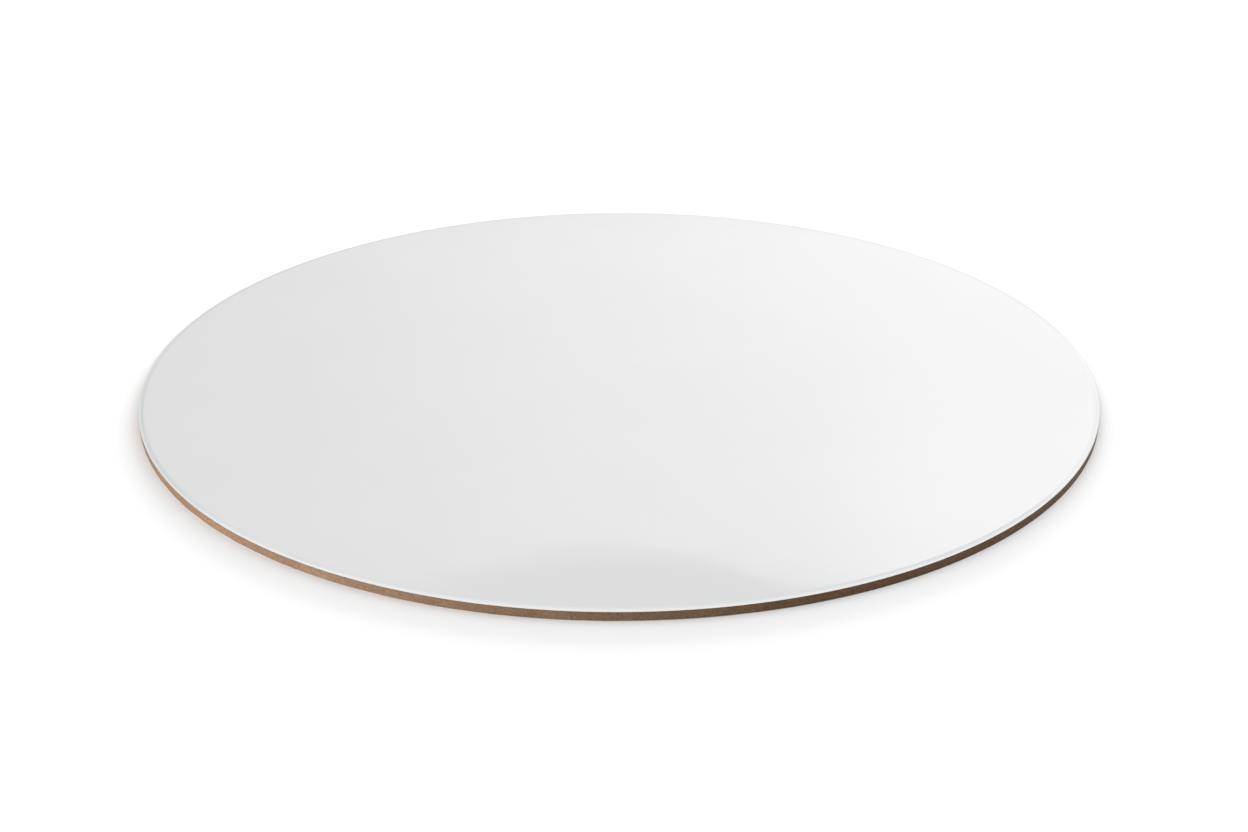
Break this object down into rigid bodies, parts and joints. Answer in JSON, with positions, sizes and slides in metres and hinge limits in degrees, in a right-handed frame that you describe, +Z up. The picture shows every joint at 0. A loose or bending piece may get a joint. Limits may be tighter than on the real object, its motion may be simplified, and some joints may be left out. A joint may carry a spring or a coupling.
{
  "type": "circle template",
  "caption": "Plain round disc template: brown fibreboard core with a white high-gloss face, flat on both sides and traced round its rim.",
  "frame": {"origin": "centre of the underside, on the surface that the disc lies on", "axes": "+Z up out of the white face, along the disc's axis; X and Y lie in the underside and are interchangeable because the disc is round"},
  "size_m": [0.3048, 0.3048, 0.003],
  "materials": {
    "kraft_backing": "matte",
    "glue": "satin",
    "fibreboard": "matte",
    "white_sheet": "satin",
    "clear_gloss": "gloss"
  },
  "bodies": {
    "root": {"backing_sheet": "kraft_backing", "back_glue_film": "glue", "fibreboard_core": "fibreboard", "face_glue_film": "glue", "white_face_sheet": "white_sheet", "clear_gloss_sheet": "clear_gloss"}
  },
  "joints": []
}
